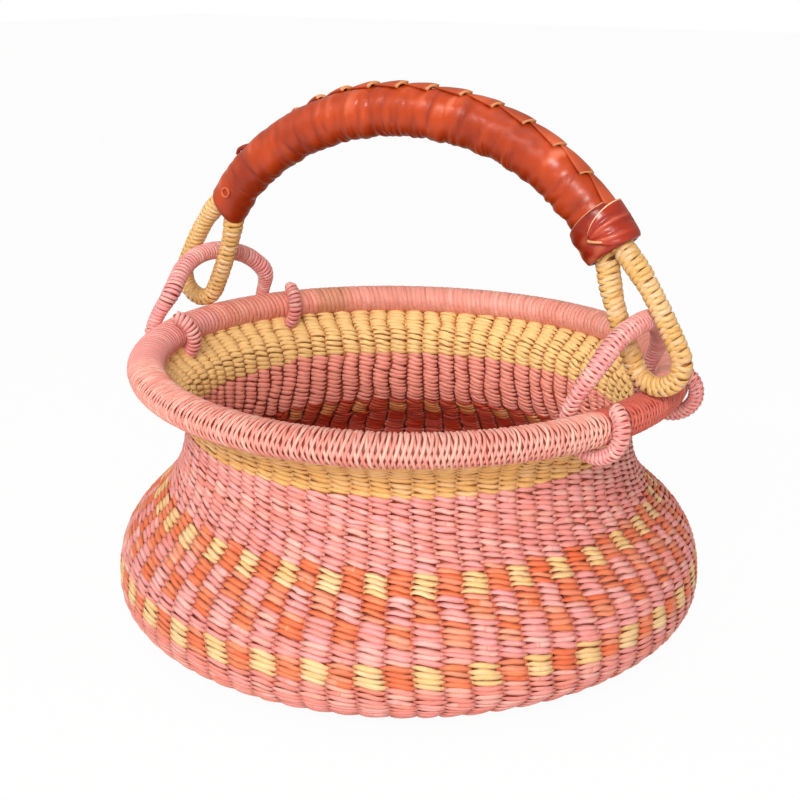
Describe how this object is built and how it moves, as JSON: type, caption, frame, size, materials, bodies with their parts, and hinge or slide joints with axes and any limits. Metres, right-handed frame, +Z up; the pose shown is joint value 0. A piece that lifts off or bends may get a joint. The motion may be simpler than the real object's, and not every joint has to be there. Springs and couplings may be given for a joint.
{
  "type": "woven handled basket",
  "caption": "Round-bellied twined straw basket with a wrapped rim and a leather-covered arched handle looped through two rope ears.",
  "frame": {"origin": "centre of the flat woven base's underside, which rests on the floor", "axes": "+Z up through the mouth; X across the basket from ear to ear, with +X at the ear whose end of the handle has the wrapped cuff; +Y through the grip of the handle"},
  "size_m": [0.3349, 0.3208, 0.2866],
  "materials": {
    "salmon_straw": "satin straw, salmon dye",
    "checked_straw": "satin straw, yellow and orange dye by turns",
    "pink_straw": "satin straw, pink dye",
    "orange_straw": "satin straw, orange dye",
    "natural_straw": "satin natural straw",
    "rim_straw": "satin straw, pink dye, wrapped",
    "core_grass": "matt dry grass",
    "rope_straw": "satin natural straw, wound over a rope",
    "sleeve_leather": "waxed red-brown goat leather",
    "strap_leather": "waxed red-brown leather strap"
  },
  "bodies": {
    "basket": {"woven_base": "salmon_straw", "bottom_band": "salmon_straw", "lower_check_band": "checked_straw", "pink_stripe": "pink_straw", "step_band": "orange_straw", "upper_check_band": "checked_straw", "shoulder_band": "pink_straw", "neck_band": "natural_straw", "rim_core": "core_grass", "rim_wrap": "rim_straw", "ear_left": "pink_straw", "ear_right": "pink_straw"},
    "handle": {"handle_rope": "rope_straw", "leather_sleeve": "sleeve_leather", "end_cuff": "sleeve_leather", "lacing_thong": "strap_leather", "thong_flap": "strap_leather", "thong_knot": "strap_leather"}
  },
  "joints": [
    {"name": "handle_swing", "type": "hinge", "parent": "basket", "child": "handle", "pos_m": [0, 0, 0.1548], "axis": [1, 0, 0], "range_deg": [-55, 55]}
  ]
}
